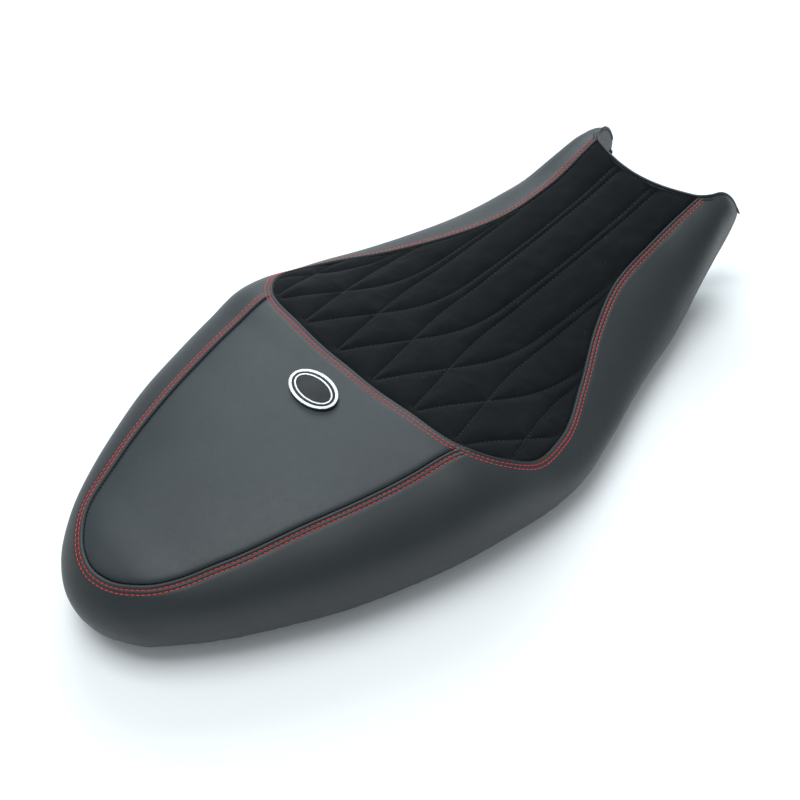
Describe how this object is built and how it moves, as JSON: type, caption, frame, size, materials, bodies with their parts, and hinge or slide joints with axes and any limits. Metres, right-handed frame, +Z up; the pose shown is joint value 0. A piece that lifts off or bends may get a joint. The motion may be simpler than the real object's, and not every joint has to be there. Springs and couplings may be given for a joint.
{
  "type": "motorcycle seat",
  "caption": "Single motorcycle seat with a padded tail hump, quilted suede rider panel, leather sides, moulded pan, steel front tongue and rear bolt bracket.",
  "frame": {"origin": "centre of the footprint on the plane of the rubber buffers' feet", "axes": "+X towards the fuel tank, +Y to the rider's left, +Z up"},
  "size_m": [0.6659, 0.3306, 0.103],
  "materials": {
    "suede": "black napped suede, quilted",
    "top_leather": "smooth black seat leather, satin",
    "side_leather": "smooth black seat leather, satin",
    "seat_foam": "moulded polyurethane foam",
    "quilt_foam": "thin lining foam",
    "pan_plastic": "moulded black polypropylene",
    "coated_steel": "satin black coating",
    "zinc_steel": "zinc plated",
    "insert_brass": "knurled",
    "buffer_rubber": "moulded",
    "badge_metal": "satin",
    "badge_enamel": "black enamel",
    "badge_adhesive": "foam tape"
  },
  "bodies": {
    "root": {"suede_seat_panel": "suede", "tail_top_panel": "top_leather", "side_cover_panel": "side_leather", "tank_wall_panel": "side_leather", "foam_block": "seat_foam", "quilt_foam_layer": "quilt_foam", "seat_pan": "pan_plastic", "rear_bracket": "coated_steel", "front_tongue": "coated_steel", "weld_nuts": "zinc_steel", "bracket_inserts": "insert_brass", "tongue_inserts": "insert_brass", "bracket_screws": "zinc_steel", "tongue_screws": "zinc_steel", "badge_pad": "badge_adhesive", "badge_plate": "badge_metal", "badge_enamel": "badge_enamel", "badge_ring": "badge_metal", "cover_staples": "zinc_steel", "buffer_rear_left": "buffer_rubber", "buffer_rear_right": "buffer_rubber", "buffer_middle_left": "buffer_rubber", "buffer_middle_right": "buffer_rubber", "buffer_front_left": "buffer_rubber", "buffer_front_right": "buffer_rubber"}
  },
  "joints": []
}
